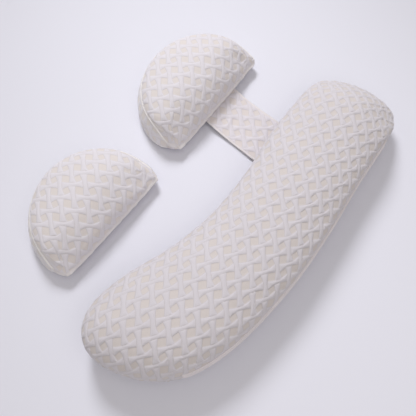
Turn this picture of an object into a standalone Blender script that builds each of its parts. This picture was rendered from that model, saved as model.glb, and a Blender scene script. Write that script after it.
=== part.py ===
"""Pregnancy pillow set of three cushions lying flat, all in one raised lattice cloth.

A long curved body pillow lies along X. A broad strap runs from its hollow side, in +Y, to a
half-moon cushion, and a second half-moon cushion lies loose beside them. Metres, +Z up.
"""

import math

import bmesh
import bpy
import numpy as np
from mathutils import Vector
from mathutils.geometry import delaunay_2d_cdt

COLLECTION = "pregnancy_pillow"
GAP = 0.0003
OUTLINE_STEP = 0.0165
BELLY_GRID = 0.055
BELLY_SPARSE = 0.010
BELLY_CLEAR = 0.015
RING_CLEAR = 0.006
RIM_FADE = 0.012

# The long pillow: each name means the same for the cushions below. The wall is the upright side
# between the two panels, wall_draw how far its upper seam is pulled in over the lower one.
LONG = {
    "height": 0.146,
    "seam_z": 0.064,
    "knife_z": 0.056,
    "wall": 0.030,
    "wall_bulge": 0.0025,
    "wall_draw": 0.0,
    "wall_taper": 0.110,
    "round_reach": 0.128,
    "round_power": 2.1,
    "knife_reach": 0.150,
    "knife_power": 1.55,
    "belly_reach": 0.072,
    "belly_power": 1.8,
    "rings": (0.0020, 0.0080, 0.0180),
    "belly_rings": (0.0050, 0.0170, 0.0350, 0.0540, 0.0720),
}

# The half-moons: their arc is boxed by a gusset, their straight side is a knife-edge seam.
MOON = {
    "knife_z": 0.0280,
    "wall_bulge": 0.0030,
    "wall_draw": 0.0085,
    "wall_taper": 0.105,
    "round_reach": 0.120,
    "round_power": 1.75,
    "knife_reach": 0.105,
    "knife_power": 1.75,
    "belly_reach": 0.060,
    "belly_power": 1.8,
    "rings": (0.0030, 0.0110),
    "belly_rings": (0.0070, 0.0210, 0.0400, 0.0600),
}

# Rows of the long pillow's outline, seen from above, clockwise: along X, across Y.
LONG_OUTLINE = (
    # far end, a nearly square one with rounded corners
    (0.4070, -0.0560),
    (0.4740, -0.0670),
    (0.5050, -0.1220),
    (0.5190, -0.1920),
    (0.5150, -0.2640),
    (0.4800, -0.3050),
    # bulging side
    (0.4120, -0.3190),
    (0.2500, -0.3380),
    (0.0820, -0.3640),
    (-0.0850, -0.3790),
    (-0.2520, -0.3740),
    (-0.3600, -0.3520),
    (-0.4320, -0.3130),
    # near end, a full round one
    (-0.4880, -0.2450),
    (-0.5170, -0.1570),
    (-0.4960, -0.0960),
    (-0.4360, -0.0670),
    # hollow side
    (-0.3380, -0.0740),
    (-0.2190, -0.1040),
    (-0.0910, -0.1170),
    (0.0560, -0.1050),
    (0.2040, -0.0740),
    (0.3130, -0.0610),
)
KNIFE_ROWS = (1, 5)

# Each half-moon: the circle its arc follows, by how much and where that arc is fuller, how far
# the circle's centre lies inside the straight side, the rounding of the two corners, where the
# straight side's middle lies, and how tall the gusset and the whole cushion are.
STRAPPED_MOON = {
    "radius": 0.1960,
    "fuller": 0.030,
    "fuller_deg": 36.0,
    "inset": 0.0610,
    "corner": 0.0180,
    "place": (0.2120, 0.1230),
    "turn_deg": 7.1,
    "seam_z": 0.0385,
    "wall": 0.070,
    "height": 0.112,
}
LOOSE_MOON = {
    "radius": 0.1835,
    "fuller": 0.025,
    "fuller_deg": 36.0,
    "inset": 0.0560,
    "corner": 0.0180,
    "place": (-0.2620, 0.0620),
    "turn_deg": 5.2,
    "seam_z": 0.0315,
    "wall": 0.057,
    "height": 0.100,
}
CORNER_FADE_DEG = 40.0

# The cloth's raised lattice: two families of strands that weave over and under each other.
# Angles are from each piece's own X, pitches run along each family's strands.
RELIEF = 0.0026
UNDER_SHARE = 0.45
STRAND_HALF = 0.34
NODES_PER_PITCH = 3
LONG_LATTICE = {"angles_deg": (-29.3, 48.5), "pitches": (0.0326, 0.0312)}
MOON_LATTICE = {"angles_deg": (-53.0, 49.0), "pitches": (0.0341, 0.0378)}
STRAP_LATTICE = {"angles_deg": (-45.0, 45.0), "pitches": (0.0345, 0.0345)}

# The strap: rows from the long pillow to the half-moon, as a share of its length and the
# height of its underside above what the set lies on.
STRAP_LEFT_X = 0.1460
STRAP_RIGHT_X = 0.2970
STRAP_THICK = 0.0040
STRAP_RELIEF = 0.7
STRAP_TUCK_LONG = 0.034
STRAP_TUCK_MOON = 0.028
STRAP_LIFT = (
    # share, lift
    (0.00, 0.0110),
    (0.10, 0.0040),
    (0.25, 0.0012),
    (0.45, 0.0000),
    (0.65, 0.0000),
    (0.85, 0.0010),
    (1.00, 0.0040),
)

# Narrow cloth bands sewn round the cushions' sides.
GUSSET = {"low": 0.03, "high": 0.985, "thick": 0.0016, "ridge": 0.0020, "least_wall": 0.014}
PLACKET = {"low": 0.06, "high": 0.96, "thick": 0.0014, "ridge": 0.0005, "least_wall": 0.020}
PLACKET_FROM_X = 0.480
PLACKET_TO_X = -0.412
RIDGE_SHARE = 0.10

LATTICE_WHITE = (0.80, 0.78, 0.78)
PLAIN_WHITE = (0.84, 0.80, 0.80)


def smooth_step(value):
    """Rises from 0 to 1 with no corner at either end."""
    share = np.clip(value, 0.0, 1.0)
    return share * share * (3.0 - 2.0 * share)


def catmull_rom(rows, steps=24):
    """A closed smooth curve through the rows, and the row that each of its points follows."""
    rows = np.array(rows)
    points = []
    owners = []
    for index in range(len(rows)):
        before, start, end, after = (rows[(index + k) % len(rows)] for k in (-1, 0, 1, 2))
        for step in range(steps):
            t = step / steps
            bend = 2 * start + (end - before) * t
            bend += (2 * before - 5 * start + 4 * end - after) * t**2
            bend += (3 * start - before - 3 * end + after) * t**3
            points.append(bend / 2)
            owners.append(index + t)
    return np.array(points), np.array(owners)


def evenly_spaced(points, values, spacing):
    """The closed loop with points this far apart, and the values carried along."""
    loop = np.vstack([points, points[:1]])
    reach = np.concatenate([[0.0], np.cumsum(np.linalg.norm(np.diff(loop, axis=0), axis=1))])
    count = int(round(reach[-1] / spacing))
    wanted = np.arange(count) * reach[-1] / count
    even = np.column_stack([np.interp(wanted, reach, loop[:, k]) for k in (0, 1)])
    nearest = np.searchsorted(reach, wanted, side="right") - 1
    return even, values[np.minimum(nearest, len(values) - 1)]


def long_outline():
    """The long pillow's outline, and which of its points are on the knife-edge end."""
    points, owners = catmull_rom(LONG_OUTLINE)
    on_knife = (owners >= KNIFE_ROWS[0]) & (owners <= KNIFE_ROWS[1])
    return evenly_spaced(points[::-1], on_knife[::-1], OUTLINE_STEP)


def moon_outline(moon):
    """A half-moon's outline: straight side along X through the origin, arc towards +Y."""
    radius, inset, corner = moon["radius"], moon["inset"], moon["corner"]
    corner_x = math.sqrt((radius - corner) ** 2 - (corner - inset) ** 2)
    lean = math.atan2(corner - inset, corner_x)
    points = []
    on_knife = []

    def add_arc(centre, size, start, end, count):
        for k in range(count):
            angle = start + (end - start) * k / count
            points.append((centre[0] + size * math.cos(angle), centre[1] + size * math.sin(angle)))
            on_knife.append(False)

    for k in range(60):
        points.append((-corner_x + 2 * corner_x * k / 60, 0.0))
        on_knife.append(True)
    add_arc((corner_x, corner), corner, -math.pi / 2, lean, 16)
    for k in range(160):
        angle = lean + (math.pi - 2 * lean) * k / 160
        from_corner = min(angle - lean, math.pi - lean - angle)
        share = smooth_step(from_corner / math.radians(CORNER_FADE_DEG))
        fuller = moon["fuller"] * share * math.cos(2 * (angle - math.radians(moon["fuller_deg"])))
        size = radius * (1 + fuller)
        points.append((size * math.cos(angle), inset + size * math.sin(angle)))
        on_knife.append(False)
    add_arc((-corner_x, corner), corner, math.pi - lean, 3 * math.pi / 2, 16)
    return evenly_spaced(np.array(points), np.array(on_knife), OUTLINE_STEP)


def distance_to(points, starts, ends):
    """Each point's distance to the nearest of the segments, and that segment's place."""
    along = ends - starts
    offset = points[:, None, :] - starts[None, :, :]
    share = (offset * along).sum(2) / np.maximum((along * along).sum(1), 1e-12)
    share = np.clip(share, 0.0, 1.0)
    gap = np.linalg.norm(offset - share[:, :, None] * along, axis=2)
    nearest = gap.argmin(axis=1)
    rows = np.arange(len(points))
    return gap[rows, nearest], nearest, share[rows, nearest]


def strand_step(angle_deg, length):
    """A step of this length along a strand that runs at this angle."""
    return length * np.array([math.cos(math.radians(angle_deg)), math.sin(math.radians(angle_deg))])


def lattice_height(points, lattice):
    """How far the raised lattice stands above the cloth between its strands."""
    (first, second), (pitch_a, pitch_b) = lattice["angles_deg"], lattice["pitches"]
    steps = np.column_stack([strand_step(first, pitch_a), strand_step(second, pitch_b)])
    a, b = np.linalg.solve(steps, points.T)
    over = np.cos(math.pi * (a + np.round(b)))
    under = np.cos(math.pi * (np.round(a) + b))
    middle = (1.0 + UNDER_SHARE) / 2
    swing = (1.0 - UNDER_SHARE) / 2
    round_a = np.clip(1.0 - ((b - np.round(b)) / STRAND_HALF) ** 2, 0.0, 1.0)
    round_b = np.clip(1.0 - ((a - np.round(a)) / STRAND_HALF) ** 2, 0.0, 1.0)
    return RELIEF * np.maximum(round_a * (middle + swing * over), round_b * (middle - swing * under))


def lattice_nodes(outline, lattice):
    """Points on the strands, their crossings and the hollows between, over the outline's box."""
    (first, second), (pitch_a, pitch_b) = lattice["angles_deg"], lattice["pitches"]
    step_a = strand_step(first, pitch_a / NODES_PER_PITCH)
    step_b = strand_step(second, pitch_b / NODES_PER_PITCH)
    low, high = outline.min(axis=0), outline.max(axis=0)
    corners = np.array([(x, y) for x in (low[0], high[0]) for y in (low[1], high[1])])
    shares = np.linalg.solve(np.column_stack([step_a, step_b]), corners.T)
    counts = [np.arange(math.floor(s.min()), math.ceil(s.max()) + 1) for s in shares]
    grid_a, grid_b = np.meshgrid(*counts)
    return grid_a.reshape(-1, 1) * step_a + grid_b.reshape(-1, 1) * step_b


class Cushion:
    """A filled cushion between two panels: a round, walled edge and a knife-edge seam."""

    def __init__(self, outline, on_knife, sizes, lattice):
        self.outline = outline
        self.sizes = sizes
        self.lattice = lattice
        ahead, behind = np.roll(outline, -1, axis=0), np.roll(outline, 1, axis=0)
        tangent = ahead - behind
        tangent /= np.linalg.norm(tangent, axis=1)[:, None]
        self.outward = np.column_stack([tangent[:, 1], -tangent[:, 0]])
        segment_on_knife = on_knife & np.roll(on_knife, -1)
        self.starts, self.ends = outline, ahead
        self.knife_segments = np.flatnonzero(segment_on_knife)
        self.round_segments = np.flatnonzero(~segment_on_knife)
        knife = self.knife_segments
        from_knife, _, _ = distance_to(outline, outline[knife], ahead[knife])
        away = smooth_step(from_knife / sizes["wall_taper"])
        self.wall = sizes["wall"] * away
        seam = sizes["knife_z"] + (sizes["seam_z"] - sizes["knife_z"]) * away
        self.rim_low = seam - self.wall / 2
        self.rim_high = seam + self.wall / 2
        self.bulge = sizes["wall_bulge"] * away
        self.draw = sizes["wall_draw"] * away

    def to_edge(self, points, drawn):
        """Distances to the round edge and to the knife edge, and the rims' heights nearby."""
        found = []
        for segments in (self.round_segments, self.knife_segments):
            gap, nearest, share = distance_to(points, self.starts[segments], self.ends[segments])
            here = segments[nearest]
            there = (here + 1) % len(self.outline)
            low = self.rim_low[here] * (1 - share) + self.rim_low[there] * share
            high = self.rim_high[here] * (1 - share) + self.rim_high[there] * share
            if drawn:
                draw = self.draw[here] * (1 - share) + self.draw[there] * share
                gap = np.maximum(gap - draw, 0.0)
            found.append((gap, low, high))
        weights = [1.0 / (gap + 0.0005) ** 2 for gap, _, _ in found]
        total = weights[0] + weights[1]
        low = (weights[0] * found[0][1] + weights[1] * found[1][1]) / total
        high = (weights[0] * found[0][2] + weights[1] * found[1][2]) / total
        return found[0][0], found[1][0], low, high

    @staticmethod
    def rise(gap, reach, power):
        """0 at the edge, steep there, and 1 from this far in."""
        inside = np.clip(1.0 - gap / reach, 0.0, 1.0)
        return (1.0 - inside**power) ** (1.0 / power)

    def top(self, points):
        """The top panel's height, with its lattice."""
        sizes = self.sizes
        round_gap, knife_gap, _, rim = self.to_edge(points, True)
        crown = self.rise(round_gap, sizes["round_reach"], sizes["round_power"])
        crown = crown * self.rise(knife_gap, sizes["knife_reach"], sizes["knife_power"])
        relief = lattice_height(points, self.lattice)
        fade = smooth_step(np.minimum(round_gap, knife_gap) / RIM_FADE)
        return rim + (sizes["height"] - RELIEF - rim) * crown + relief * fade

    def bottom(self, points):
        """The underside's height: flat in the middle, rising to the rim."""
        reach = self.sizes["belly_reach"]
        round_gap, knife_gap, rim, _ = self.to_edge(points, False)
        power = self.sizes["belly_power"]
        lift = 1.0 - self.rise(round_gap, reach, power) * self.rise(knife_gap, reach, power)
        lift[lift < 1e-4] = 0.0
        return rim * lift

    def wall_point(self, index, share, proud):
        """A point on the side wall: its share of the wall's height, this far proud of it."""
        index = index % len(self.outline)
        out = self.bulge[index] * (1.0 - abs(2.0 * share - 1.0)) - self.draw[index] * share + proud
        place = self.outline[index] + self.outward[index] * out
        height = self.rim_low[index] + self.wall[index] * share
        return (place[0], place[1], height)

    def top_rim(self):
        """The outline of the top panel."""
        return self.outline - self.outward * self.draw[:, None]

    def ring(self, inset):
        """The outline drawn in by this much, without the points that corners crowd."""
        inner = self.outline - self.outward * inset
        gap, _, _ = distance_to(inner, self.starts, self.ends)
        return inner[gap > 0.93 * inset]

    def inside(self, points, margin):
        """Those of the points that lie inside the outline by more than this."""
        gap, nearest, _ = distance_to(points, self.starts, self.ends)
        within = ((points - self.starts[nearest]) * self.outward[nearest]).sum(1) < 0
        return points[within & (gap > margin)]


def filled(outline, extra):
    """Triangles over the outline that use the extra points, and all the points they use."""
    coords = [Vector(point) for point in np.vstack([outline, extra])]
    edges = [(k, (k + 1) % len(outline)) for k in range(len(outline))]
    points, _, faces, origins, _, _ = delaunay_2d_cdt(coords, edges, [], 1, 1e-7)
    order = np.array([first[0] for first in origins])
    return np.array([tuple(point) for point in points]), [tuple(face) for face in faces], order


def mesh_object(name, verts, faces, color, roughness):
    """An object of one closed mesh, smooth shaded, with its own material."""
    mesh = bpy.data.meshes.new(name)
    work = bmesh.new()
    for vert in verts:
        work.verts.new(vert)
    work.verts.ensure_lookup_table()
    for face in faces:
        work.faces.new([work.verts[k] for k in face])
    bmesh.ops.remove_doubles(work, verts=work.verts, dist=0.00002)
    bmesh.ops.dissolve_degenerate(work, edges=work.edges, dist=0.00001)
    bmesh.ops.recalc_face_normals(work, faces=work.faces)
    work.to_mesh(mesh)
    work.free()
    mesh.shade_smooth()
    obj = bpy.data.objects.new(name, mesh)
    material = bpy.data.materials.new(name + "_cloth")
    material.use_nodes = True
    shader = material.node_tree.nodes["Principled BSDF"]
    shader.inputs["Base Color"].default_value = (*color, 1.0)
    shader.inputs["Roughness"].default_value = roughness
    shader.inputs["Metallic"].default_value = 0.0
    mesh.materials.append(material)
    bpy.data.collections[COLLECTION].objects.link(obj)
    return obj


def two_faced(outline, top_rim, top_extra, bottom_extra, top, bottom, rims, middle):
    """Verts and faces of a body between two panels.

    The bottom panel ends at the outline, the top one at its own rim. top and bottom give a
    panel's heights, rims the two rims' heights, and middle, where there is one, the ring of
    points half-way up the wall.
    """
    verts = []
    faces = []
    rings = []
    panels = (
        (bottom_extra, bottom, outline, rims[0], True),
        (top_extra, top, top_rim, rims[1], False),
    )
    for extra, height, edge, rim, flip in panels:
        points, found, order = filled(outline, extra)
        heights = height(points)
        on_rim = order < len(outline)
        points[on_rim] = edge[order[on_rim]]
        heights[on_rim] = rim[order[on_rim]]
        base = len(verts)
        verts += [(point[0], point[1], z) for point, z in zip(points, heights)]
        faces += [tuple(base + k for k in (face[::-1] if flip else face)) for face in found]
        place = {order[k]: base + k for k in range(len(points))}
        rings.append([place[k] for k in range(len(outline))])
    levels = [rings[0], rings[1]]
    if middle is not None:
        base = len(verts)
        verts += list(middle)
        levels.insert(1, [base + k for k in range(len(outline))])
    for low, high in zip(levels, levels[1:]):
        for k in range(len(outline)):
            after = (k + 1) % len(outline)
            faces.append((low[k], low[after], high[after], high[k]))
    return verts, faces


def add_cushion(name, cushion, place, turn):
    """Adds a cushion's filled body where its own origin lies."""
    rings = [inset + cushion.sizes["wall_draw"] for inset in cushion.sizes["rings"]]
    nodes = lattice_nodes(cushion.outline, cushion.lattice)
    grid = cushion.inside(nodes, rings[-1] + RING_CLEAR)
    top_extra = np.vstack([cushion.ring(inset) for inset in rings] + [grid])
    belly = cushion.sizes["belly_rings"]
    low, high = cushion.outline.min(axis=0), cushion.outline.max(axis=0)
    coarse = [np.arange(low[k], high[k], BELLY_GRID) for k in (0, 1)]
    flat = np.column_stack([axis.reshape(-1) for axis in np.meshgrid(*coarse)])
    flat = cushion.inside(flat, belly[-1] + BELLY_CLEAR)
    sparse = [cushion.ring(inset)[:: 1 + (inset > BELLY_SPARSE)] for inset in belly]
    bottom_extra = np.vstack(sparse + [flat])
    count = len(cushion.outline)
    middle = [cushion.wall_point(k, 0.5, 0.0) for k in range(count)]
    verts, faces = two_faced(
        cushion.outline,
        cushion.top_rim(),
        top_extra,
        bottom_extra,
        cushion.top,
        cushion.bottom,
        (cushion.rim_low, cushion.rim_high),
        middle,
    )
    obj = mesh_object(name, verts, faces, LATTICE_WHITE, 0.85)
    obj.location = (place[0], place[1], 0.0)
    obj.rotation_euler = (0.0, 0.0, math.radians(turn))
    return obj


def add_wall_band(name, cushion, indices, band, color, carrier):
    """Adds a band of cloth sewn round a cushion's wall, with a ridge along both seams."""
    low, high = band["low"], band["high"]
    edge = RIDGE_SHARE * (high - low)
    proud = GAP + band["thick"]
    section = (
        (low, GAP),
        (low, proud + band["ridge"]),
        (low + edge, proud),
        (0.5, proud),
        (high - edge, proud),
        (high, proud + band["ridge"]),
        (high, GAP),
        (0.5, GAP),
    )
    verts = [cushion.wall_point(k, share, out) for k in indices for share, out in section]
    size = len(section)
    faces = []
    for station in range(len(indices) - 1):
        for k in range(size):
            here, beside = station * size + k, station * size + (k + 1) % size
            faces.append((here, beside, beside + size, here + size))
    last = (len(indices) - 1) * size
    for base in (0, last):
        faces.append((base + 0, base + 1, base + 2))
        faces.append((base + 0, base + 2, base + 3, base + 7))
        faces.append((base + 3, base + 4, base + 6, base + 7))
        faces.append((base + 4, base + 5, base + 6))
    obj = mesh_object(name, verts, faces, color, 0.8)
    obj.location = carrier.location
    obj.rotation_euler = carrier.rotation_euler
    return obj


def gusset_indices(cushion):
    """The outline's points along the arc where the wall is tall enough for its gusset."""
    tall = cushion.wall > GUSSET["least_wall"]
    count = len(tall)
    first = next(k for k in range(count) if tall[k] and not tall[k - 1])
    return list(range(first, first + int(tall.sum())))


def placket_indices(cushion):
    """The outline's points along the bulging side, from the far end to the near one."""
    middle_y = (cushion.outline[:, 1].min() + cushion.outline[:, 1].max()) / 2
    x, y = cushion.outline[:, 0], cushion.outline[:, 1]
    chosen = (y < middle_y) & (x < PLACKET_FROM_X) & (x > PLACKET_TO_X)
    chosen &= cushion.outward[:, 1] < -0.4
    chosen &= cushion.wall > PLACKET["least_wall"]
    first = next(k for k in range(len(chosen)) if chosen[k] and not chosen[k - 1])
    return list(range(first, first + int(chosen.sum())))


def turned(points, place, turn, back=False):
    """Points taken from a piece's own frame to the set's, or back."""
    angle = math.radians(turn)
    spin = np.array([[math.cos(angle), -math.sin(angle)], [math.sin(angle), math.cos(angle)]])
    if back:
        return (points - np.array(place)) @ spin
    return points @ spin.T + np.array(place)


def strap_outline(long_pillow, moon):
    """The strap's four sides, its ends tucked under the two cushions' edges."""
    corners = []
    moon_edge_x, moon_edge_y = moon.sizes["place"]
    lean = math.tan(math.radians(moon.sizes["turn_deg"]))
    hollow = long_pillow.outline[long_pillow.outward[:, 1] > 0.5]
    hollow = hollow[hollow[:, 0].argsort()]
    for x in (STRAP_LEFT_X, STRAP_RIGHT_X):
        near = np.interp(x, hollow[:, 0], hollow[:, 1]) - STRAP_TUCK_LONG
        far = moon_edge_y + (x - moon_edge_x) * lean + STRAP_TUCK_MOON
        corners.append((near, far))
    (left_near, left_far), (right_near, right_far) = corners
    loop = np.array([
        (STRAP_LEFT_X, left_near),
        (STRAP_RIGHT_X, right_near),
        (STRAP_RIGHT_X, right_far),
        (STRAP_LEFT_X, left_far),
    ])
    points = []
    for start, end in zip(loop, np.roll(loop, -1, axis=0)):
        count = int(round(np.linalg.norm(end - start) / OUTLINE_STEP))
        points += [start + (end - start) * k / count for k in range(count)]
    return np.array(points), loop


def add_strap(long_pillow, moon):
    """Adds the strap: one stitched band of the cloth, lying along the surface."""
    outline, (near_left, near_right, far_right, far_left) = strap_outline(long_pillow, moon)
    share_rows, lift_rows = np.array(STRAP_LIFT).T
    place, turn = moon.sizes["place"], moon.sizes["turn_deg"]
    starts, ends = outline, np.roll(outline, -1, axis=0)

    def ceiling(points):
        """The underside above each point, less the gap, or no limit out in the open."""
        limit = np.full(len(points), 1.0)
        for cushion, own in ((long_pillow, points), (moon, turned(points, place, turn, back=True))):
            gap, nearest, _ = distance_to(own, cushion.starts, cushion.ends)
            under = ((own - cushion.starts[nearest]) * cushion.outward[nearest]).sum(1) < 0
            limit[under] = np.minimum(limit[under], cushion.bottom(own[under]) - GAP)
        return limit

    def middle_height(points):
        across = (points[:, 0] - STRAP_LEFT_X) / (STRAP_RIGHT_X - STRAP_LEFT_X)
        near = near_left[1] * (1 - across) + near_right[1] * across
        far = far_left[1] * (1 - across) + far_right[1] * across
        share = (points[:, 1] - near) / (far - near)
        return np.interp(share, share_rows, lift_rows)

    def top(points):
        gap, _, _ = distance_to(points, starts, ends)
        relief = STRAP_RELIEF * lattice_height(points - near_left, STRAP_LATTICE)
        height = middle_height(points) + STRAP_THICK + relief * smooth_step(gap / RIM_FADE)
        return np.minimum(height, ceiling(points))

    def bottom(points):
        gap, _, _ = distance_to(points, starts, ends)
        plain = np.minimum(middle_height(points), ceiling(points) - STRAP_THICK)
        return np.maximum(plain, 0.0)

    nodes = lattice_nodes(outline - near_left, STRAP_LATTICE) + near_left
    gap, nearest, _ = distance_to(nodes, starts, ends)
    side = ends[nearest] - starts[nearest]
    toward = nodes - starts[nearest]
    within = side[:, 0] * toward[:, 1] - side[:, 1] * toward[:, 0] > 0
    nodes = nodes[within & (gap > RING_CLEAR)]
    rims = (bottom(outline), top(outline))
    verts, faces = two_faced(outline, outline, nodes, nodes[::2], top, bottom, rims, None)
    return mesh_object("strap", verts, faces, LATTICE_WHITE, 0.85)


def main():
    for obj in list(bpy.data.objects):
        bpy.data.objects.remove(obj, do_unlink=True)
    bpy.context.scene.collection.children.link(bpy.data.collections.new(COLLECTION))

    outline, on_knife = long_outline()
    long_pillow = Cushion(outline, on_knife, LONG, LONG_LATTICE)
    body = add_cushion("long_pillow", long_pillow, (0.0, 0.0), 0.0)
    add_wall_band("side_placket", long_pillow, placket_indices(long_pillow), PLACKET, PLAIN_WHITE, body)

    for name, moon in (("strapped_half_moon", STRAPPED_MOON), ("loose_half_moon", LOOSE_MOON)):
        outline, on_knife = moon_outline(moon)
        cushion = Cushion(outline, on_knife, {**MOON, **moon}, MOON_LATTICE)
        body = add_cushion(name, cushion, moon["place"], moon["turn_deg"])
        add_wall_band(name + "_gusset", cushion, gusset_indices(cushion), GUSSET, LATTICE_WHITE, body)
        if moon is STRAPPED_MOON:
            add_strap(long_pillow, cushion)


main()
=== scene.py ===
# Pregnancy pillow set: a long curved pillow, its strap and two half-moons in one lattice cloth
import math

import bmesh
import bpy
import numpy as np
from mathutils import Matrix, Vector
from mathutils.bvhtree import BVHTree


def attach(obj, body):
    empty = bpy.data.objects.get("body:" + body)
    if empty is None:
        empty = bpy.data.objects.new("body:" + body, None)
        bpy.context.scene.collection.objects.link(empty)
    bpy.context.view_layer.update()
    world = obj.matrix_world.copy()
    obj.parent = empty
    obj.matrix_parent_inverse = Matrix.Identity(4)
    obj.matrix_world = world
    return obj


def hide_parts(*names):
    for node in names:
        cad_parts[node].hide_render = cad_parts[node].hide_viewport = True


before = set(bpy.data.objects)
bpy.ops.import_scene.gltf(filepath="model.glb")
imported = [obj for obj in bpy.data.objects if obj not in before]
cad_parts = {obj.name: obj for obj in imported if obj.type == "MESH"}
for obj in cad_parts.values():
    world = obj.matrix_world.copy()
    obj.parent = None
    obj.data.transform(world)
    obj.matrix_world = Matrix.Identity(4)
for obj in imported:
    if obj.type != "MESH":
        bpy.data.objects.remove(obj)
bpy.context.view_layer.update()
bpy.ops.object.select_all(action="DESELECT")
print("frame loaded")

view = {
    "target": (-0.0705, -0.0919, 0.060),
    "distance": 1.146,
    "elevationDeg": 66.0,
    "turnDeg": 47.3,  # how far the picture's right is turned from +X, clockwise
    "lens": 38.15,
}


def pictureWay(right, back):
    # a direction over the ground from the picture's right and back, in the set's own X and Y
    turn = math.radians(view["turnDeg"])
    return Vector((
        right * math.cos(turn) + back * math.sin(turn),
        back * math.cos(turn) - right * math.sin(turn),
        0.0,
    ))


def addCamera():
    lean = math.radians(view["elevationDeg"])
    away = -pictureWay(0.0, 1.0) * math.cos(lean) + Vector((0, 0, math.sin(lean)))
    bpy.ops.object.camera_add(
        location=Vector(view["target"]) + away * view["distance"],
        rotation=(math.radians(90 - view["elevationDeg"]), 0, -math.radians(view["turnDeg"])),
    )
    made = bpy.context.object
    made.name = "photoCamera"
    made.data.lens = view["lens"]
    made.data.sensor_width = 36.0
    bpy.context.scene.camera = made


studio = {
    "keyRight": -0.25,
    "keyBack": 1.0,
    "keyElevationDeg": 46.0,
    "keyDistance": 4.0,
    "keySize": 1.35,
    "keySpreadDeg": 60.0,
    "keyPower": 13.5,
    "keyColor": (0.955, 0.960, 1.0),
    "fillRight": 0.4,
    "fillBack": -1.0,
    "fillDistance": 1.2,
    "fillHeight": 2.2,
    "fillSize": 3.0,
    "fillPower": 20.0,
    "fillColor": (1.0, 0.98, 0.99),
    "aimRight": 0.14,
    "aimBack": 0.04,
    "aimShift": (-0.05, 0.0, 0.05),
    "ambient": 0.385,
    "ambientColor": (1.0, 0.955, 0.915),
    "floorSize": 8.0,
}


def addArea(name, place, size, power, color, spreadDeg=180.0):
    centre = pictureWay(studio["aimRight"], studio["aimBack"]) + Vector(studio["aimShift"])
    aim = (centre - place).to_track_quat("-Z", "Y").to_euler()
    bpy.ops.object.light_add(type="AREA", location=place, rotation=aim)
    lamp = bpy.context.object
    lamp.name = name
    lamp.data.shape = "DISK"
    lamp.data.size = size
    lamp.data.energy = power
    lamp.data.color = color
    lamp.data.spread = math.radians(spreadDeg)


def addStudio():
    lean = math.radians(studio["keyElevationDeg"])
    way = pictureWay(studio["keyRight"], studio["keyBack"]).normalized()
    place = (way * math.cos(lean) + Vector((0, 0, math.sin(lean)))) * studio["keyDistance"]
    addArea("keyLight", place, studio["keySize"], studio["keyPower"], studio["keyColor"],
            studio["keySpreadDeg"])
    fill = pictureWay(studio["fillRight"], studio["fillBack"]) * studio["fillDistance"]
    fill = fill + Vector((0, 0, studio["fillHeight"]))
    addArea("fillLight", fill, studio["fillSize"], studio["fillPower"], studio["fillColor"])
    world = bpy.data.worlds.new("studioAir")
    bpy.context.scene.world = world
    world.use_nodes = True
    air = world.node_tree.nodes["Background"]
    air.inputs["Color"].default_value = (*studio["ambientColor"], 1)
    air.inputs["Strength"].default_value = studio["ambient"]
    bpy.context.scene.view_settings.view_transform = "Standard"


class Link:
    # a node's output; Python's operators on it add Math nodes
    def __init__(self, shader, socket):
        self.shader = shader
        self.socket = socket

    def math(self, operation, *others):
        values = {0: self}
        values.update({k + 1: other for k, other in enumerate(others)})
        return self.shader.node("ShaderNodeMath", {"operation": operation}, values)

    def __add__(self, other):
        return self.math("ADD", other)

    def __radd__(self, other):
        return self.math("ADD", other)

    def __sub__(self, other):
        return self.math("SUBTRACT", other)

    def __rsub__(self, other):
        return (self * -1.0) + other

    def __mul__(self, other):
        return self.math("MULTIPLY", other)

    def __rmul__(self, other):
        return self.math("MULTIPLY", other)

    def __truediv__(self, other):
        return self.math("DIVIDE", other)

    def __abs__(self):
        return self.math("ABSOLUTE")

    def __pow__(self, other):
        return self.math("POWER", other)

    def held(self, low=0.0, high=1.0):
        # kept between two values
        return self.math("MAXIMUM", low).math("MINIMUM", high)

    def smooth(self):
        # 0 to 1 with no corner at either end
        share = self.held()
        return share * share * (3.0 - 2.0 * share)


class Shader:
    def __init__(self, name):
        self.material = bpy.data.materials.new(name)
        self.material.use_nodes = True
        self.tree = self.material.node_tree
        self.surface = self.tree.nodes["Principled BSDF"]

    def node(self, kind, settings, values, output=0):
        made = self.tree.nodes.new(kind)
        for key, value in settings.items():
            setattr(made, key, value)
        for key, value in values.items():
            if isinstance(value, Link):
                self.tree.links.new(value.socket, made.inputs[key])
            else:
                made.inputs[key].default_value = value
        return Link(self, made.outputs[output])

    def feed(self, name, value):
        if isinstance(value, Link):
            self.tree.links.new(value.socket, self.surface.inputs[name])
        else:
            self.surface.inputs[name].default_value = value

    def mix(self, share, first, second):
        # two colours; each is a link or three numbers
        ends = [end if isinstance(end, Link) else (*end, 1.0) for end in (first, second)]
        kind = {"data_type": "RGBA"}
        return self.node("ShaderNodeMix", kind, {0: share, 6: ends[0], 7: ends[1]}, 2)

    def wave(self, value, period):
        return (value * (2 * math.pi / period)).math("SINE")


# The weave: each strand lies over two pitches, drawn in at its middle and flared to its ends,
# where it dives under the waists of the strands that cross it.
weave = {
    "across": (0.27, 0.62, 0.815),  # waist, ends and half-length, in pitches
    "down": (0.30, 0.58, 0.835),
    "skew": 0.06,
    "flare": 2.2,
    "edge": 0.04,
    "waffle": 0.078,
    "gapColor": (0.680, 0.636, 0.612),
    "strandColor": (0.655, 0.634, 0.668),
    # the plain cloth along the seams: its own cream, painted lighter as light on the seam's edge,
    # which slopes away from the key light
    "rimColorAndLight": (0.725, 0.700, 0.700),
    # how dark the painted shade along the strands' borders is
    "edgeShade": 0.86,
}


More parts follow.
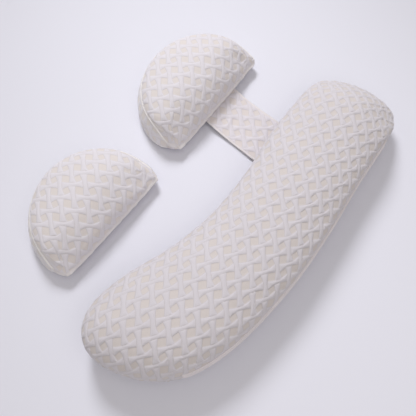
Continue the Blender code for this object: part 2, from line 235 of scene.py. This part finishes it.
def strandShares(a, b):
    # the height share of the strands at lattice places a and b
    rise = np.zeros(len(a))
    for along, across, phase, lean, kind in (
        (a + np.round(b), b - np.round(b), 1.0, -1.0, "across"),
        (b + np.round(a), a - np.round(a), 0.0, 1.0, "down"),
    ):
        waist, end, reach = weave[kind]
        t = np.mod(along + phase, 2.0) - 1.0
        far = np.minimum(np.abs(t) / reach, 1.0)
        flare = far ** weave["flare"]
        half = (waist + (end - waist) * flare) / 2
        inside = half - np.abs(across - lean * weave["skew"] * np.sign(t) * flare)
        dome = eased((inside + 0.025) / 0.11) * (0.84 + 0.16 * np.clip(inside / half, 0.0, 1.0))
        dome *= eased((reach - np.abs(t) + 0.05) / 0.09) * (1.0 - 0.22 * far**2)
        rise = np.maximum(rise, dome)
    return rise


def strandLinks(a, b):
    # the same strands in a material: a soft-edged mask, and a band along their borders that
    # carries painted shade
    found = []
    for first, second, phase, lean, kind in (
        (a, b, 1.0, -1.0, "across"),
        (b, a, 0.0, 1.0, "down"),
    ):
        waist, end, reach = weave[kind]
        row = (second + 0.5).math("FLOOR")
        across = second - row
        t = (first + row + phase).math("FLOORED_MODULO", 2.0) - 1.0
        far = (abs(t) / reach).held()
        flare = far ** weave["flare"]
        half = flare * ((end - waist) / 2) + waist / 2
        side = t.math("SIGN") * flare * (lean * weave["skew"])
        inside = half - abs(across - side)
        found.append(inside.math("MINIMUM", reach - abs(t)))
    nearest = found[0].math("MAXIMUM", found[1])
    mask = (nearest / weave["edge"] + 0.5).smooth()
    shadedBorder = 1.0 - (abs(nearest + 0.016) / 0.036).smooth()
    return mask, shadedBorder


def latticeCloth(name, paintedLightTint):
    # knitted cloth: cool puffed strands over warm waffled gaps
    shader = Shader(name)
    cloth = shader.node("ShaderNodeUVMap", {"uv_map": "cloth"}, {})
    a, b = [shader.node("ShaderNodeSeparateXYZ", {}, {0: cloth}, k) for k in (0, 1)]
    mask, shadedBorder = strandLinks(a, b)
    rim = shader.node("ShaderNodeAttribute", {"attribute_name": "rim"}, {}, 2)
    mask = mask * (1.0 - rim)
    shadedBorder = shadedBorder * (1.0 - rim)
    waffle = shader.wave(a + b, weave["waffle"] * 2) * shader.wave(a - b, weave["waffle"] * 2)
    gap = 1.0 - mask
    place = shader.node("ShaderNodeTexCoord", {}, {}, 3)
    blotch = shader.node("ShaderNodeTexNoise", {}, {"Vector": place, "Scale": 9.0, "Detail": 3.0})
    fuzz = shader.node("ShaderNodeTexNoise", {}, {"Vector": place, "Scale": 900.0, "Detail": 2.0})
    # the cloth's colours, scaled by this copy's painted-light tint
    gapColor, strand, rimColorAndLight = [
        tuple(value * tone for value, tone in zip(weave[key], paintedLightTint))
        for key in ("gapColor", "strandColor", "rimColorAndLight")
    ]
    darkGap = tuple(0.93 * value for value in gapColor)
    ground = shader.mix((waffle * 0.5 + 0.5), darkGap, gapColor)
    # the plain rim along the seams, partly the cloth's own cream and partly painted light
    ground = shader.mix(rim, ground, rimColorAndLight)
    paleStrand = tuple(1.03 * value for value in strand)
    thread = shader.mix((blotch - 0.35) * 2.0, strand, paleStrand)
    cloth = shader.mix(mask, ground, thread)
    # painted shade: the strands' borders are darkened where their raised edges would shade the
    # cloth
    shade = tuple(weave["edgeShade"] * value for value in strand)
    shader.feed("Base Color", shader.mix(shadedBorder * 0.75, cloth, shade))
    shader.feed("Roughness", 0.88)
    shader.feed("Sheen Weight", 0.25)
    shader.feed("Sheen Roughness", 0.5)
    shader.feed("Specular IOR Level", 0.25)
    height = mask * 0.5 + waffle * gap * (1.0 - rim) * 0.10 + fuzz * 0.07
    bump = shader.node(
        "ShaderNodeBump", {}, {"Height": height, "Strength": 0.3, "Distance": 0.0020}
    )
    shader.feed("Normal", bump)
    return shader.material


def plainCloth(name, color):
    # plain smooth knit with fine ribs along the band
    shader = Shader(name)
    cloth = shader.node("ShaderNodeUVMap", {"uv_map": "cloth"}, {})
    a, b = [shader.node("ShaderNodeSeparateXYZ", {}, {0: cloth}, k) for k in (0, 1)]
    place = shader.node("ShaderNodeTexCoord", {}, {}, 3)
    blotch = shader.node("ShaderNodeTexNoise", {}, {"Vector": place, "Scale": 30.0, "Detail": 3.0})
    dim = tuple(0.95 * value for value in color)
    shader.feed("Base Color", shader.mix((blotch - 0.3) * 2.0, dim, color))
    shader.feed("Roughness", 0.85)
    shader.feed("Sheen Weight", 0.2)
    shader.feed("Specular IOR Level", 0.25)
    knit = shader.wave(a, 0.06) * shader.wave(b, 0.05)
    bump = shader.node(
        "ShaderNodeBump", {}, {"Height": knit, "Strength": 0.25, "Distance": 0.0006}
    )
    shader.feed("Normal", bump)
    return shader.material


def floorPaint():
    shader = Shader("paleFloor")
    place = shader.node("ShaderNodeTexCoord", {}, {}, 3)
    cloud = shader.node("ShaderNodeTexNoise", {}, {"Vector": place, "Scale": 1.2, "Detail": 2.0})
    shader.feed("Base Color", shader.mix(cloud, (0.735, 0.735, 0.80), (0.745, 0.745, 0.81)))
    shader.feed("Roughness", 0.9)
    shader.feed("Specular IOR Level", 0.15)
    return shader.material


def addFloor():
    bpy.ops.mesh.primitive_plane_add(size=studio["floorSize"], location=(0, 0, -0.0004))
    floor = bpy.context.object
    floor.name = "floor"
    bpy.ops.object.transform_apply(location=True)
    floor.data.materials.append(floorPaint())


def pickOnly(piece):
    bpy.ops.object.select_all(action="DESELECT")
    piece.select_set(True)
    bpy.context.view_layer.objects.active = piece


def applied(piece, kind, **settings):
    modifier = piece.modifiers.new(kind.lower(), kind)
    for key, value in settings.items():
        setattr(modifier, key, value)
    pickOnly(piece)
    bpy.ops.object.modifier_apply(modifier=modifier.name)


def numbers(items, key):
    found = np.empty(len(items) * 3)
    items.foreach_get(key, found)
    return found.reshape(-1, 3)


def spotsOf(piece):
    return numbers(piece.data.vertices, "co")


def setSpots(piece, spots):
    piece.data.vertices.foreach_set("co", spots.reshape(-1))
    piece.data.update()


def eased(value):
    share = np.clip(value, 0.0, 1.0)
    return share * share * (3.0 - 2.0 * share)


def lengthOf(vectors):
    return np.sqrt((vectors**2).sum(axis=-1))


mergeDistance = 0.00002


def skinOf(node, name):
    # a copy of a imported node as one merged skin
    piece = bpy.data.objects.new(name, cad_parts[node].data.copy())
    bpy.context.scene.collection.objects.link(piece)
    piece.data.materials.clear()
    pickOnly(piece)
    bpy.ops.object.mode_set(mode="EDIT")
    bpy.ops.mesh.select_all(action="SELECT")
    bpy.ops.mesh.remove_doubles(threshold=mergeDistance)
    bpy.ops.object.mode_set(mode="OBJECT")
    return piece


def outlineOf(node, height, step):
    # the node's outline at a height, anticlockwise, with points this far apart
    work = bmesh.new()
    work.from_mesh(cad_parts[node].data)
    bmesh.ops.remove_doubles(work, verts=work.verts, dist=mergeDistance)
    everything = work.verts[:] + work.edges[:] + work.faces[:]
    cut = bmesh.ops.bisect_plane(
        work, geom=everything, plane_co=(0, 0, height), plane_no=(0, 0, 1)
    )["geom_cut"]
    beside = {}
    for edge in cut:
        if isinstance(edge, bmesh.types.BMEdge):
            for near, far in (edge.verts[:], reversed(edge.verts[:])):
                beside.setdefault(near, []).append(far)
    start = next(iter(beside))
    walk = [start]
    last, here = start, beside[start][0]
    while here is not start:
        walk.append(here)
        onward = [vert for vert in beside[here] if vert is not last]
        last, here = here, onward[0]
    loop = np.array([vert.co[:2] for vert in walk])
    work.free()
    after = np.roll(loop, -1, axis=0)
    if (loop[:, 0] * after[:, 1] - loop[:, 1] * after[:, 0]).sum() < 0:
        loop = loop[::-1]
    closed = np.vstack([loop, loop[:1]])
    reach = np.concatenate([[0.0], np.cumsum(lengthOf(np.diff(closed, axis=0)))])
    wanted = np.linspace(0.0, reach[-1], int(reach[-1] / step), endpoint=False)
    return np.column_stack([np.interp(wanted, reach, closed[:, k]) for k in (0, 1)])


def fromLoop(flat, loop):
    # how far inside the loop each point is, the way out, and its place along the loop
    along = np.roll(loop, -1, axis=0) - loop
    length = lengthOf(along)
    out = np.column_stack([along[:, 1], -along[:, 0]]) / length[:, None]
    corner = out + np.roll(out, 1, axis=0)
    corner /= lengthOf(corner)[:, None]
    started = np.cumsum(length) - length
    gap = np.empty(len(flat))
    way = np.empty((len(flat), 2))
    place = np.empty(len(flat))
    for part in np.array_split(np.arange(len(flat)), 1 + len(flat) // 4000):
        offset = flat[part, None, :] - loop[None, :, :]
        share = np.clip((offset * along).sum(2) / length**2, 0.0, 1.0)
        beside = offset - share[:, :, None] * along
        away = lengthOf(beside)
        k = away.argmin(axis=1)
        rows = np.arange(len(part))
        inside = (beside[rows, k] * out[k]).sum(1) < 0
        gap[part] = np.where(inside, away[rows, k], -away[rows, k])
        s = share[rows, k][:, None]
        turned = corner[k] * (1 - s) + corner[(k + 1) % len(loop)] * s
        way[part] = turned / lengthOf(turned)[:, None]
        place[part] = started[k] + length[k] * s[:, 0]
    return gap, way, place


def writeCloth(piece, top, bottom, split):
    # the cloth's own lattice places as a UV map, the top panel's above the split height
    mesh = piece.data
    layer = mesh.uv_layers.new(name="cloth")
    corners = np.empty(len(mesh.loops), dtype=np.int64)
    mesh.loops.foreach_get("vertex_index", corners)
    totals = np.empty(len(mesh.polygons), dtype=np.int64)
    mesh.polygons.foreach_get("loop_total", totals)
    high = np.repeat(numbers(mesh.polygons, "center")[:, 2] > split, totals)
    places = np.where(high[:, None], top[corners], bottom[corners])
    layer.data.foreach_set("uv", places.reshape(-1))


def writeRim(piece, rim):
    # how far the lattice is lost towards a seam
    layer = piece.data.attributes.new("rim", "FLOAT", "POINT")
    layer.data.foreach_set("value", rim.astype(np.float32))


def latticePlaces(flat, lattice):
    # points in the cloth's plane as lattice places
    across, down = [math.radians(angle) for angle in lattice["anglesDeg"]]
    steps = np.array([
        [math.cos(across) * lattice["pitches"][0], math.cos(down) * lattice["pitches"][1]],
        [math.sin(across) * lattice["pitches"][0], math.sin(down) * lattice["pitches"][1]],
    ])
    return np.linalg.solve(steps, (flat - np.array(lattice["start"])).T).T


longPillow = {
    "node": "long_pillow",
    "name": "longPillow",
    "slot": "lattice_cloth",
    "voxel": 0.005,
    "seam": 0.064,
    "upperRim": 0.079,
    "knife": 0.056,
    "knifeWay": (1.0, -0.08),
    "knifeFrom": 0.70,
    "crown": 0.146,
    "reach": 0.128,
    "relief": 0.0018,
    "fill": 0.75,
    "pressure": 4.0,
    "shrink": 0.002,
    "cap": 0.024,
    "bandDip": 0.0,
    "drawIn": 0.0,
    "widen": 1.0,
    "deepen": 1.0,
    "lattice": {
        "anglesDeg": (-29.3, 228.0),
        "pitches": (0.0330, 0.0310),
        "start": (-0.1905, -0.2479),
    },
}
strappedMoon = {
    "node": "strapped_half_moon",
    "name": "strappedHalfMoon",
    "slot": "half_moon_cloth",
    "voxel": 0.005,
    "seam": 0.0385,
    "upperRim": 0.0735,
    "knife": 0.028,
    "knifeWay": (math.sin(math.radians(7.1)), -math.cos(math.radians(7.1))),
    "knifeFrom": 0.80,
    "crown": 0.112,
    "reach": 0.120,
    "relief": 0.0014,
    "fill": 0.65,
    "pressure": 4.0,
    "shrink": 0.002,
    "cap": 0.022,
    "bandDip": 0.0012,
    "drawIn": 0.0070,
    "widen": 1.065,
    "deepen": 1.0,
    "lattice": {
        "anglesDeg": (-47.3, 229.0),
        "pitches": (0.0334, 0.0385),
        "start": (0.1644, 0.1792),
    },
}
looseMoon = {
    "node": "loose_half_moon",
    "name": "looseHalfMoon",
    "slot": "half_moon_cloth",
    "voxel": 0.005,
    "seam": 0.0315,
    "upperRim": 0.0600,
    "knife": 0.028,
    "knifeWay": (math.sin(math.radians(5.2)), -math.cos(math.radians(5.2))),
    "knifeFrom": 0.80,
    "crown": 0.100,
    "reach": 0.120,
    "relief": 0.0014,
    "fill": 0.65,
    "pressure": 4.0,
    "shrink": 0.002,
    "cap": 0.022,
    "bandDip": 0.0012,
    "drawIn": 0.0070,
    "widen": 1.03,
    "deepen": 1.06,
    "lattice": {
        "anglesDeg": (-48.2, 235.0),
        "pitches": (0.0337, 0.0369),
        "start": (-0.3132, 0.1369),
    },
}


def knifeShare(way, cushion):
    # 1 along the knife-edge seam, 0 along the boxed or rounded sides
    facing = way @ (np.array(cushion["knifeWay"]) / np.linalg.norm(cushion["knifeWay"]))
    return eased((facing - cushion["knifeFrom"]) / 0.15)


swellFrames = 20
swellSettings = {
    "quality": 4,
    "mass": 0.2,
    "tension_stiffness": 12.0,
    "compression_stiffness": 12.0,
    "shear_stiffness": 5.0,
    "bending_stiffness": 0.6,
    "use_pressure": True,
    "pin_stiffness": 1.0,
}


def inflate(piece, cushion, held):
    # swells the pillow with cloth pressure, its edges held, and limits how far it may go
    before = spotsOf(piece)
    group = piece.vertex_groups.new(name="held")
    for level in np.unique(np.round(held, 1)):
        if level > 0:
            chosen = np.flatnonzero(np.round(held, 1) == level)
            group.add([int(k) for k in chosen], float(level), "REPLACE")
    cloth = piece.modifiers.new("cloth", "CLOTH")
    settings = cloth.settings
    for key, value in swellSettings.items():
        setattr(settings, key, value)
    settings.uniform_pressure_force = cushion["pressure"]
    settings.vertex_group_mass = "held"
    settings.effector_weights.gravity = 0.0
    cloth.collision_settings.use_collision = False
    cloth.point_cache.frame_start = 1
    cloth.point_cache.frame_end = swellFrames
    for frameNumber in range(1, swellFrames + 1):
        bpy.context.scene.frame_set(frameNumber)
    pickOnly(piece)
    bpy.ops.object.modifier_apply(modifier=cloth.name)
    bpy.context.scene.frame_set(1)
    moved = spotsOf(piece) - before
    far = lengthOf(moved)
    limit = np.minimum(1.0, cushion["cap"] / np.maximum(far, 1e-6))
    print(cushion["name"], "swelled", round(float(far.mean()) * 1000, 1), "mm,",
          "most", round(float(far.max()) * 1000, 1), "mm")
    setSpots(piece, before + moved * limit[:, None])
    piece.vertex_groups.clear()


def dents(spots, seed):
    # slow, shallow hollows in a fibre filling
    found = np.zeros(len(spots))
    rough = np.random.default_rng(seed)
    for wave in (0.31, 0.23, 0.16, 0.12, 0.09):
        angle, phase = rough.uniform(0, 2 * math.pi, 2)
        way = np.array([math.cos(angle), math.sin(angle)]) * 2 * math.pi / wave
        found += np.sin(spots[:, :2] @ way + phase + 2.0 * spots[:, 2] / wave) * wave
    return found / 0.5


ironPasses = 26
edgePasses = 3


def makeCushion(cushion, seed):
    loop = outlineOf(cushion["node"], cushion["seam"] + 0.0004, 0.006)
    piece = skinOf(cushion["node"], cushion["name"])
    applied(piece, "REMESH", mode="VOXEL", voxel_size=cushion["voxel"])
    gap = fromLoop(spotsOf(piece)[:, :2], loop)[0]
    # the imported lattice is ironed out, except close to the edges
    loose = eased((gap - 0.004) / 0.016)
    group = piece.vertex_groups.new(name="loose")
    for level in range(1, 11):
        chosen = np.flatnonzero(np.round(loose * 10) == level)
        group.add([int(k) for k in chosen], level / 10, "REPLACE")
    applied(piece, "SMOOTH", factor=0.5, iterations=ironPasses, vertex_group="loose")
    piece.vertex_groups.clear()
    applied(piece, "SMOOTH", factor=0.5, iterations=edgePasses)
    spots = spotsOf(piece)
    outward = numbers(piece.data.vertices, "normal")
    setSpots(piece, spots - outward * cushion["shrink"] * eased(gap / 0.03)[:, None])
    held = 1.0 - eased((gap - 0.006) / 0.020)
    held = np.where(spots[:, 2] < 0.004, np.maximum(held, 0.9), held)
    inflate(piece, cushion, held)
    spots = spotsOf(piece)
    # smoothing drew the tips in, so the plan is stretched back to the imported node's own
    facing = np.array(cushion["knifeWay"]) / np.linalg.norm(cushion["knifeWay"])
    packed = spotsOf(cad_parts[cushion["node"]])[:, :2]
    chord = np.array([-facing[1], facing[0]])
    for axis in (facing, chord):
        reached, wanted = spots[:, :2] @ axis, packed @ axis
        scale = np.ptp(wanted) / np.ptp(reached)
        moved = (reached - reached.min()) * (scale - 1) + wanted.min() - reached.min()
        spots[:, :2] += np.outer(moved, axis)
    # a half-moon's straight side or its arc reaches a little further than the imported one's
    middle, side = (packed @ chord).mean(), (packed @ facing).max()
    for flat in (spots[:, :2], loop):
        flat += np.outer((flat @ chord - middle) * (cushion["widen"] - 1), chord)
        flat += np.outer((flat @ facing - side) * (cushion["deepen"] - 1), facing)
    # the boxed side leans in to its upper seam
    gap, way, _ = fromLoop(spots[:, :2], loop)
    upper = cushion["upperRim"]
    lean = eased((spots[:, 2] - cushion["seam"]) / (upper - cushion["seam"]))
    lean = np.where(spots[:, 2] < upper, lean, 1.0) * eased(1.0 - (gap - 0.006) / 0.034)
    lean *= (1 - knifeShare(way, cushion)) * cushion["drawIn"]
    spots[:, :2] -= way * lean[:, None]
    # the crown keeps its height, and the underside lies flat
    high = spots[:, 2] > cushion["seam"]
    grown = (spots[:, 2].max() - cushion["seam"]) / (cushion["crown"] - cushion["seam"])
    spots[high, 2] = cushion["seam"] + (spots[high, 2] - cushion["seam"]) / grown
    lowest = spots[:, 2].min()
    sunk = (spots[~high, 2] - lowest) / (cushion["seam"] - lowest)
    spots[~high, 2] = sunk * cushion["seam"]
    setSpots(piece, spots)
    applied(piece, "SUBSURF", levels=1, render_levels=1)
    dress(piece, cushion, loop, seed)
    return piece, loop


drape = 2.1  # how much a crown's drop adds to the cloth's run
undersideShift = 0.37
placketMiddle = 0.0765  # the placket's middle height on the long pillow's wall
placketReach = 0.022  # and how far above and below it the lattice is lost
lipDepth = 0.0042
lipHeight = 0.0034


def dress(piece, cushion, loop, seed):
    # dents, seam creases, gathers and the raised lattice
    spots = spotsOf(piece)
    gap, way, place = fromLoop(spots[:, :2], loop)
    knife = knifeShare(way, cushion)
    seam = cushion["seam"] + (cushion["knife"] - cushion["seam"]) * knife
    upperRim = seam + (cushion["upperRim"] - cushion["seam"]) * (1 - knife)
    above = spots[:, 2] > seam
    # lattice places: the plan, plus what the cloth needs to reach down over the edge
    spread = np.maximum(cushion["reach"] - gap, 0.0)
    drop = cushion["crown"] - np.maximum(spots[:, 2], upperRim)
    extra = np.sqrt(spread**2 + drape * np.maximum(drop, 0.0) ** 2) - spread
    extra = extra * eased(spread / 0.03) + np.maximum(upperRim - spots[:, 2], 0.0)
    climb = np.sqrt(spread**2 + drape * spots[:, 2] ** 2) - spread
    top = latticePlaces(spots[:, :2] + way * extra[:, None], cushion["lattice"])
    bottom = latticePlaces(spots[:, :2] + way * climb[:, None], cushion["lattice"])
    bottom = bottom + undersideShift
    rise = np.where(above, strandShares(*top.T), strandShares(*bottom.T))
    # how far each point is from the seams, over the surface
    toSeam = np.hypot(np.maximum(gap, 0.0), spots[:, 2] - seam)
    toUpper = np.hypot(np.maximum(gap - 0.006 - cushion["drawIn"], 0.0), spots[:, 2] - upperRim)
    boxed = (1 - knife) * (cushion["bandDip"] > 0)
    toEdge = np.where(boxed > 0.5, np.minimum(toSeam, toUpper), toSeam)
    # the lattice is lost in a smooth rim along the straight seams, and lies flat under a band
    rim = (1.0 - eased((toEdge - 0.003) / 0.006)) * np.maximum(knife, boxed)
    atWall = gap < 0.012 + cushion["drawIn"]
    underBand = boxed * atWall * (spots[:, 2] < upperRim) * above
    walled = eased((-way[:, 1] - 0.80) / 0.08) * (cushion["bandDip"] == 0)
    inBand = eased((placketReach - np.abs(spots[:, 2] - placketMiddle)) / 0.007)
    inBand = inBand * eased((0.02 - gap) / 0.01)
    underBand = np.maximum(underBand, walled * inBand)
    fade = (1 - rim) * (1 - underBand)
    lift = cushion["relief"] * (rise - 0.25) * fade
    # the filling's dents, and gathers that run in from the seams
    lift += 0.0011 * dents(spots, seed) * eased(gap / 0.05) * above
    gather = np.sin(place * 2 * math.pi / 0.021) + np.sin(place * 2 * math.pi / 0.034 + 1.0)
    lift += 0.0003 * gather * np.exp(-((toEdge / 0.014) ** 2)) * (1 - underBand)
    lift -= cushion["bandDip"] * boxed * atWall * (spots[:, 2] < upperRim)
    outward = numbers(piece.data.vertices, "normal")
    low = eased(spots[:, 2] / 0.012)
    spots += outward * (lift * np.where(above, 1.0, low))[:, None]
    # a knife-edge seam stands out as a thin lip
    nearSeam = np.exp(-(((spots[:, 2] - seam) / lipHeight) ** 2))
    lip = lipDepth * knife * nearSeam * (gap < 0.012)
    spots[:, :2] += way * lip[:, None]
    spots[:, 2] = np.maximum(spots[:, 2], 0.0)
    setSpots(piece, spots)
    writeCloth(piece, top, bottom, cushion["seam"] - 0.002)
    writeRim(piece, rim)
    piece.data.shade_smooth()
    piece.data.materials.append(materials[cushion["slot"]])
    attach(piece, "root")
    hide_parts(cushion["node"])
    print(cushion["name"], "made,", len(piece.data.vertices), "points")


gusset = {
    "step": 0.0035,
    "rowStep": 0.0030,
    "raised": 0.0,
    "proud": 0.0014,
    "thick": 0.0012,
    "ridge": 0.0016,
    "ridgeFrom": 0.0020,
    "ridgeHalf": 0.0016,
    "relief": 0.0008,
    "lattice": {"anglesDeg": (8.0, 274.0), "pitches": (0.0340, 0.0370), "start": (0.0, 0.0)},
}
placket = {
    "step": 0.0040,
    "rowStep": 0.0030,
    "raised": 0.0125,
    "proud": 0.0014,
    "thick": 0.0011,
    "ridge": 0.0009,
    "ridgeFrom": 0.0018,
    "ridgeHalf": 0.0014,
    "relief": 0.0,
    "lattice": {"anglesDeg": (0.0, 270.0), "pitches": (0.0300, 0.0300), "start": (0.0, 0.0)},
}


edgeProud = 0.0004
evenPasses = 12


def bandStations(node, loop):
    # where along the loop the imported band's own stations are, and how low and high each is
    spots = spotsOf(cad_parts[node])
    away = lengthOf(loop[:, None, :] - spots[None, ::5, :2]).min(axis=1)
    loop = np.roll(loop, -int(away.argmax()), axis=0)
    _, _, place = fromLoop(spots[:, :2], loop)
    order = place.argsort()
    groups = np.split(order, np.flatnonzero(np.diff(place[order]) > 0.005) + 1)
    rows = [(place[g].mean(), spots[g, 2].min(), spots[g, 2].max()) for g in groups]
    return loop, np.array(rows)


def makeBand(name, node, slot, cushionPiece, loop, band):
    loop, stations = bandStations(node, loop)
    first, last = stations[0, 0], stations[-1, 0]
    count = int((last - first) / band["step"])
    along = np.linspace(first, last, count)
    low = np.interp(along, stations[:, 0], stations[:, 1]) + band["raised"]
    high = np.interp(along, stations[:, 0], stations[:, 2]) + band["raised"]
    closed = np.vstack([loop, loop[:1]])
    reach = np.concatenate([[0.0], np.cumsum(lengthOf(np.diff(closed, axis=0)))])
    flat = np.column_stack([np.interp(along, reach, closed[:, k]) for k in (0, 1)])
    _, way, _ = fromLoop(flat, loop)
    # rows up the band, closer together at the two seams
    tall = float((high - low).max())
    edges = [0.0, 0.0006, 0.0014, 0.0022, 0.0032]
    middle = np.linspace(0.0048, tall - 0.0048, max(3, int(tall / band["rowStep"])))
    levels = np.concatenate([edges, middle, [tall - edge for edge in edges[::-1]]]) / tall
    bpy.ops.object.select_all(action="DESELECT")
    bpy.ops.mesh.primitive_grid_add(
        x_subdivisions=count - 1, y_subdivisions=len(levels) - 1, size=1.0
    )
    piece = bpy.context.object
    piece.name = name
    hull = BVHTree.FromObject(cushionPiece, bpy.context.evaluated_depsgraph_get())
    spots = np.empty((len(levels) * count, 3))
    places = np.empty((len(spots), 2))
    inward = np.zeros((len(levels), count))
    ends = eased(np.minimum(along - first, last - along) / 0.012)
    for row, level in enumerate(levels):
        for k in range(count):
            height = low[k] + (high[k] - low[k]) * level
            start = Vector((*(flat[k] + way[k] * 0.05), height))
            hit = hull.ray_cast(start, Vector((*(-way[k]), 0.0)), 0.09)[0]
            base = np.array(hit[:2]) if hit else flat[k]
            inward[row, k] = (base - flat[k]) @ way[k]
            spots[row * count + k, 2] = height
            places[row * count + k] = (along[k], height)
    # it spans the small hollows of the cushion behind it
    even = inward
    for _ in range(evenPasses):
        wide = np.pad(even, ((0, 0), (1, 1)), mode="edge")
        even = np.maximum(inward, (wide[:, :-2] + wide[:, 2:]) / 2)
    ways = np.tile(way, (len(levels), 1))
    spots[:, :2] = np.tile(flat, (len(levels), 1)) + ways * even.reshape(-1, 1)
    cloth = latticePlaces(places, band["lattice"])
    span = np.tile(high - low, len(levels))
    fromEdge = np.minimum(np.repeat(levels, count), 1 - np.repeat(levels, count)) * span
    proud = edgeProud + (band["proud"] - edgeProud) * eased(fromEdge / 0.0018)
    bump = np.clip(1 - ((fromEdge - band["ridgeFrom"]) / band["ridgeHalf"]) ** 2, 0.0, 1.0)
    proud += band["ridge"] * np.sqrt(bump)
    proud += band["relief"] * (strandShares(*cloth.T) - 0.2) * eased((fromEdge - 0.004) / 0.006)
    proud = edgeProud + (proud - edgeProud) * np.tile(ends, len(levels))
    spots[:, :2] += ways * proud[:, None]
    setSpots(piece, spots)
    outward = numbers(piece.data.vertices, "normal")[:, :2]
    if (outward * ways).sum() < 0:
        piece.data.flip_normals()
    for layer in list(piece.data.uv_layers):
        piece.data.uv_layers.remove(layer)
    writeCloth(piece, cloth, cloth, -1.0)
    writeRim(piece, 1.0 - eased((fromEdge - 0.0035) / 0.004))
    applied(piece, "SOLIDIFY", thickness=band["thick"], offset=-1.0, use_even_offset=False)
    piece.data.shade_smooth()
    piece.data.materials.append(materials[slot])
    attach(piece, "root")
    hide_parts(node)
    round(float(last - first), 3)
    print(name, "made,", len(piece.data.vertices), "points")


strapCloth = {
    "node": "strap",
    "step": 0.0028,
    "thick": 0.0036,
    "relief": 0.0022,
    "sideDrop": 0.0035,
    "rise": (  # share of the way from the long pillow to the half-moon, height
        (0.00, 0.0080),
        (0.20, 0.0050),
        (0.45, 0.0045),
        (0.65, 0.0070),
        (0.80, 0.0125),
        (0.90, 0.0165),
        (1.00, 0.0170),
    ),
    "lattice": {
        "anglesDeg": (-48.5, 228.0),
        "pitches": (0.0335, 0.0370),
        "start": (0.2072, 0.0265),
    },
}


def makeStrap(longPiece, moonPiece):
    spots = spotsOf(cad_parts[strapCloth["node"]])
    corners = [spots[(spots[:, :2] @ np.array(way)).argmax(), :2]
               for way in ((-1, -1), (1, -1), (1, 1), (-1, 1))]
    wide = lengthOf(corners[1] - corners[0])
    long = lengthOf(corners[3] - corners[0])
    across = int(wide / strapCloth["step"])
    rows = int(long / strapCloth["step"])
    bpy.ops.object.select_all(action="DESELECT")
    bpy.ops.mesh.primitive_grid_add(x_subdivisions=across - 1, y_subdivisions=rows - 1, size=1.0)
    piece = bpy.context.object
    piece.name = "strapBand"
    u, v = np.meshgrid(np.linspace(0, 1, across), np.linspace(0, 1, rows))
    u, v = u.reshape(-1, 1), v.reshape(-1, 1)
    flat = (corners[0] * (1 - u) + corners[1] * u) * (1 - v)
    flat = flat + (corners[3] * (1 - u) + corners[2] * u) * v
    u, v = u[:, 0], v[:, 0]
    shares, heights = np.array(strapCloth["rise"]).T
    height = np.interp(v, shares, heights)
    height = height - strapCloth["sideDrop"] * u * eased((v - 0.3) / 0.4)
    # a few soft creases where the strap turns up to the half-moon
    for at, turn, deep in ((0.70, 0.35, 0.0012), (0.78, -0.2, 0.0014), (0.60, 0.6, 0.0008)):
        line = (v - at) - turn * (u - 0.5) * 0.25
        height = height + deep * np.exp(-((line / 0.018) ** 2)) * np.sin(u * 5 + at * 9)
    fromSide = np.minimum(u, 1 - u) * wide
    cloth = latticePlaces(flat, strapCloth["lattice"])
    raised = strapCloth["relief"] * strandShares(*cloth.T) * eased((fromSide - 0.005) / 0.006)
    hem = 0.0009 * np.clip(1 - ((fromSide - 0.0028) / 0.0026) ** 2, 0, 1)
    topHeight = height + strapCloth["thick"] / 2 + raised + hem
    # its ends lie under the cushions
    graph = bpy.context.evaluated_depsgraph_get()
    hulls = [BVHTree.FromObject(other, graph) for other in (longPiece, moonPiece)]
    for k in range(len(flat)):
        for hull in hulls:
            hit = hull.ray_cast(Vector((*flat[k], -0.02)), Vector((0, 0, 1)), 0.2)[0]
            if hit:
                topHeight[k] = min(topHeight[k], hit[2] - 0.0006)
    topHeight = np.maximum(topHeight, 0.0)
    setSpots(piece, np.column_stack([flat, topHeight]))
    if numbers(piece.data.vertices, "normal")[:, 2].mean() < 0:
        piece.data.flip_normals()
    for layer in list(piece.data.uv_layers):
        piece.data.uv_layers.remove(layer)
    writeCloth(piece, cloth, cloth, -1.0)
    writeRim(piece, 1.0 - eased((fromSide - 0.004) / 0.004))
    applied(piece, "SOLIDIFY", thickness=strapCloth["thick"] * 0.6, offset=-1.0)
    spots = spotsOf(piece)
    spots[:, 2] = np.maximum(spots[:, 2], 0.0)
    setSpots(piece, spots)
    piece.data.shade_smooth()
    piece.data.materials.append(materials["strap_cloth"])
    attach(piece, "root")
    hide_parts(strapCloth["node"])
    print("strap made,", len(piece.data.vertices), "points")


addCamera()
addStudio()
addFloor()
print("camera and studio ready")

# each copy of the one lattice cloth gets a painted-light tint: darker on the long pillow, lighter
# on the half-moons and strap, lightest on the gusset walls
materials = {
    "lattice_cloth": latticeCloth("latticeCloth", (0.945, 0.93, 0.93)),
    "half_moon_cloth": latticeCloth("halfMoonCloth", (1.05, 1.04, 1.04)),
    "gusset_cloth": latticeCloth("gussetCloth", (1.12, 1.12, 1.10)),
    "strap_cloth": latticeCloth("strapCloth", (1.03, 1.01, 1.01)),
    "plain_cloth": plainCloth("plainCloth", (0.80, 0.745, 0.755)),
}
print("cloths ready")

longPiece, longLoop = makeCushion(longPillow, 11)
makeBand("sidePlacket", "side_placket", "plain_cloth", longPiece, longLoop, placket)
strappedPiece, strappedLoop = makeCushion(strappedMoon, 12)
makeBand("strappedHalfMoonGusset", "strapped_half_moon_gusset", "gusset_cloth",
         strappedPiece, strappedLoop, gusset)
loosePiece, looseLoop = makeCushion(looseMoon, 13)
makeBand("looseHalfMoonGusset", "loose_half_moon_gusset", "gusset_cloth",
         loosePiece, looseLoop, gusset)
makeStrap(longPiece, strappedPiece)
